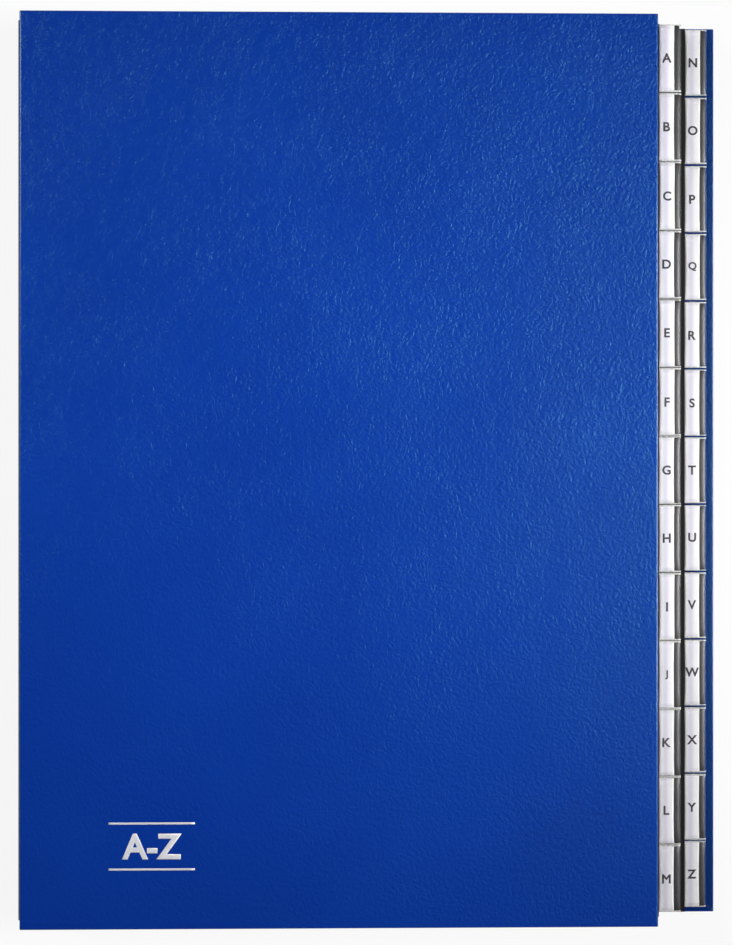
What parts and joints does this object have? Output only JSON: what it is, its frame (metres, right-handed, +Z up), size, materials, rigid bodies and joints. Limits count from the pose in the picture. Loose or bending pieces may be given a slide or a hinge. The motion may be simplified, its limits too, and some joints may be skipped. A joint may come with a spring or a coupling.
{
  "type": "alphabetical desk sorter",
  "caption": "Book-shaped desk sorter: wrapped board covers on a folded cloth spine, holding lettered card leaves that fan open, each with a clear index tab in one of two columns.",
  "frame": {"origin": "centre of the back cover's outer face, on the table", "axes": "+X from the spine to the fore-edge, +Y from the tail to the head, +Z up through the shut stack"},
  "size_m": [0.2478, 0.32, 0.0263],
  "materials": {
    "grained_paper": "blue leather-grained paper, semi-gloss",
    "grey_board": "plain grey bookbinding board",
    "lining_paper": "matt black lining paper",
    "spine_cloth": "fine woven bookbinding cloth",
    "leaf_card": "smooth black index card",
    "tab_film": "clear acetate film over a white paper label"
  },
  "bodies": {
    "back_cover": {"back_cover_board": "grey_board", "back_cover_wrap": "grained_paper", "back_cover_lining": "lining_paper", "back_spine_cloth": "spine_cloth"},
    "leaf_z": {"leaf_z": "leaf_card", "tab_z": "tab_film"},
    "leaf_y": {"leaf_y": "leaf_card", "tab_y": "tab_film"},
    "leaf_x": {"leaf_x": "leaf_card", "tab_x": "tab_film"},
    "leaf_w": {"leaf_w": "leaf_card", "tab_w": "tab_film"},
    "leaf_v": {"leaf_v": "leaf_card", "tab_v": "tab_film"},
    "leaf_u": {"leaf_u": "leaf_card", "tab_u": "tab_film"},
    "leaf_t": {"leaf_t": "leaf_card", "tab_t": "tab_film"},
    "leaf_s": {"leaf_s": "leaf_card", "tab_s": "tab_film"},
    "leaf_r": {"leaf_r": "leaf_card", "tab_r": "tab_film"},
    "leaf_q": {"leaf_q": "leaf_card", "tab_q": "tab_film"},
    "leaf_p": {"leaf_p": "leaf_card", "tab_p": "tab_film"},
    "leaf_o": {"leaf_o": "leaf_card", "tab_o": "tab_film"},
    "leaf_n": {"leaf_n": "leaf_card", "tab_n": "tab_film"},
    "leaf_m": {"leaf_m": "leaf_card", "tab_m": "tab_film"},
    "leaf_l": {"leaf_l": "leaf_card", "tab_l": "tab_film"},
    "leaf_k": {"leaf_k": "leaf_card", "tab_k": "tab_film"},
    "leaf_j": {"leaf_j": "leaf_card", "tab_j": "tab_film"},
    "leaf_i": {"leaf_i": "leaf_card", "tab_i": "tab_film"},
    "leaf_h": {"leaf_h": "leaf_card", "tab_h": "tab_film"},
    "leaf_g": {"leaf_g": "leaf_card", "tab_g": "tab_film"},
    "leaf_f": {"leaf_f": "leaf_card", "tab_f": "tab_film"},
    "leaf_e": {"leaf_e": "leaf_card", "tab_e": "tab_film"},
    "leaf_d": {"leaf_d": "leaf_card", "tab_d": "tab_film"},
    "leaf_c": {"leaf_c": "leaf_card", "tab_c": "tab_film"},
    "leaf_b": {"leaf_b": "leaf_card", "tab_b": "tab_film"},
    "leaf_a": {"leaf_a": "leaf_card", "tab_a": "tab_film"},
    "front_cover": {"front_cover_board": "grey_board", "front_cover_wrap": "grained_paper", "front_cover_lining": "lining_paper", "front_spine_cloth": "spine_cloth"}
  },
  "joints": [
    {"name": "leaf_z_turn", "type": "hinge", "parent": "back_cover", "child": "leaf_z", "pos_m": [-0.12283, 0, 0.00313], "axis": [0, -1, 0], "range_deg": [0, 6.9]},
    {"name": "leaf_y_turn", "type": "hinge", "parent": "leaf_z", "child": "leaf_y", "pos_m": [-0.12283, 0, 0.00393], "axis": [0, -1, 0], "range_deg": [0, 6.9]},
    {"name": "leaf_x_turn", "type": "hinge", "parent": "leaf_y", "child": "leaf_x", "pos_m": [-0.12283, 0, 0.00473], "axis": [0, -1, 0], "range_deg": [0, 6.9]},
    {"name": "leaf_w_turn", "type": "hinge", "parent": "leaf_x", "child": "leaf_w", "pos_m": [-0.12283, 0, 0.00553], "axis": [0, -1, 0], "range_deg": [0, 6.9]},
    {"name": "leaf_v_turn", "type": "hinge", "parent": "leaf_w", "child": "leaf_v", "pos_m": [-0.12283, 0, 0.00633], "axis": [0, -1, 0], "range_deg": [0, 6.9]},
    {"name": "leaf_u_turn", "type": "hinge", "parent": "leaf_v", "child": "leaf_u", "pos_m": [-0.12283, 0, 0.00713], "axis": [0, -1, 0], "range_deg": [0, 6.9]},
    {"name": "leaf_t_turn", "type": "hinge", "parent": "leaf_u", "child": "leaf_t", "pos_m": [-0.12283, 0, 0.00793], "axis": [0, -1, 0], "range_deg": [0, 6.9]},
    {"name": "leaf_s_turn", "type": "hinge", "parent": "leaf_t", "child": "leaf_s", "pos_m": [-0.12283, 0, 0.00873], "axis": [0, -1, 0], "range_deg": [0, 6.9]},
    {"name": "leaf_r_turn", "type": "hinge", "parent": "leaf_s", "child": "leaf_r", "pos_m": [-0.12283, 0, 0.00953], "axis": [0, -1, 0], "range_deg": [0, 6.9]},
    {"name": "leaf_q_turn", "type": "hinge", "parent": "leaf_r", "child": "leaf_q", "pos_m": [-0.12283, 0, 0.01033], "axis": [0, -1, 0], "range_deg": [0, 6.9]},
    {"name": "leaf_p_turn", "type": "hinge", "parent": "leaf_q", "child": "leaf_p", "pos_m": [-0.12283, 0, 0.01113], "axis": [0, -1, 0], "range_deg": [0, 6.9]},
    {"name": "leaf_o_turn", "type": "hinge", "parent": "leaf_p", "child": "leaf_o", "pos_m": [-0.12283, 0, 0.01193], "axis": [0, -1, 0], "range_deg": [0, 6.9]},
    {"name": "leaf_n_turn", "type": "hinge", "parent": "leaf_o", "child": "leaf_n", "pos_m": [-0.12283, 0, 0.01273], "axis": [0, -1, 0], "range_deg": [0, 6.9]},
    {"name": "leaf_m_turn", "type": "hinge", "parent": "leaf_n", "child": "leaf_m", "pos_m": [-0.12283, 0, 0.01353], "axis": [0, -1, 0], "range_deg": [0, 6.9]},
    {"name": "leaf_l_turn", "type": "hinge", "parent": "leaf_m", "child": "leaf_l", "pos_m": [-0.12283, 0, 0.01433], "axis": [0, -1, 0], "range_deg": [0, 6.9]},
    {"name": "leaf_k_turn", "type": "hinge", "parent": "leaf_l", "child": "leaf_k", "pos_m": [-0.12283, 0, 0.01513], "axis": [0, -1, 0], "range_deg": [0, 6.9]},
    {"name": "leaf_j_turn", "type": "hinge", "parent": "leaf_k", "child": "leaf_j", "pos_m": [-0.12283, 0, 0.01593], "axis": [0, -1, 0], "range_deg": [0, 6.9]},
    {"name": "leaf_i_turn", "type": "hinge", "parent": "leaf_j", "child": "leaf_i", "pos_m": [-0.12283, 0, 0.01673], "axis": [0, -1, 0], "range_deg": [0, 6.9]},
    {"name": "leaf_h_turn", "type": "hinge", "parent": "leaf_i", "child": "leaf_h", "pos_m": [-0.12283, 0, 0.01753], "axis": [0, -1, 0], "range_deg": [0, 6.9]},
    {"name": "leaf_g_turn", "type": "hinge", "parent": "leaf_h", "child": "leaf_g", "pos_m": [-0.12283, 0, 0.01833], "axis": [0, -1, 0], "range_deg": [0, 6.9]},
    {"name": "leaf_f_turn", "type": "hinge", "parent": "leaf_g", "child": "leaf_f", "pos_m": [-0.12283, 0, 0.01913], "axis": [0, -1, 0], "range_deg": [0, 6.9]},
    {"name": "leaf_e_turn", "type": "hinge", "parent": "leaf_f", "child": "leaf_e", "pos_m": [-0.12283, 0, 0.01993], "axis": [0, -1, 0], "range_deg": [0, 6.9]},
    {"name": "leaf_d_turn", "type": "hinge", "parent": "leaf_e", "child": "leaf_d", "pos_m": [-0.12283, 0, 0.02073], "axis": [0, -1, 0], "range_deg": [0, 6.9]},
    {"name": "leaf_c_turn", "type": "hinge", "parent": "leaf_d", "child": "leaf_c", "pos_m": [-0.12283, 0, 0.02153], "axis": [0, -1, 0], "range_deg": [0, 6.9]},
    {"name": "leaf_b_turn", "type": "hinge", "parent": "leaf_c", "child": "leaf_b", "pos_m": [-0.12283, 0, 0.02233], "axis": [0, -1, 0], "range_deg": [0, 6.9]},
    {"name": "leaf_a_turn", "type": "hinge", "parent": "leaf_b", "child": "leaf_a", "pos_m": [-0.12283, 0, 0.02313], "axis": [0, -1, 0], "range_deg": [0, 6.9]},
    {"name": "front_cover_turn", "type": "hinge", "parent": "leaf_a", "child": "front_cover", "pos_m": [-0.12358, 0, 0.02369], "axis": [0, 1, 0], "range_deg": [-185, 0]}
  ]
}
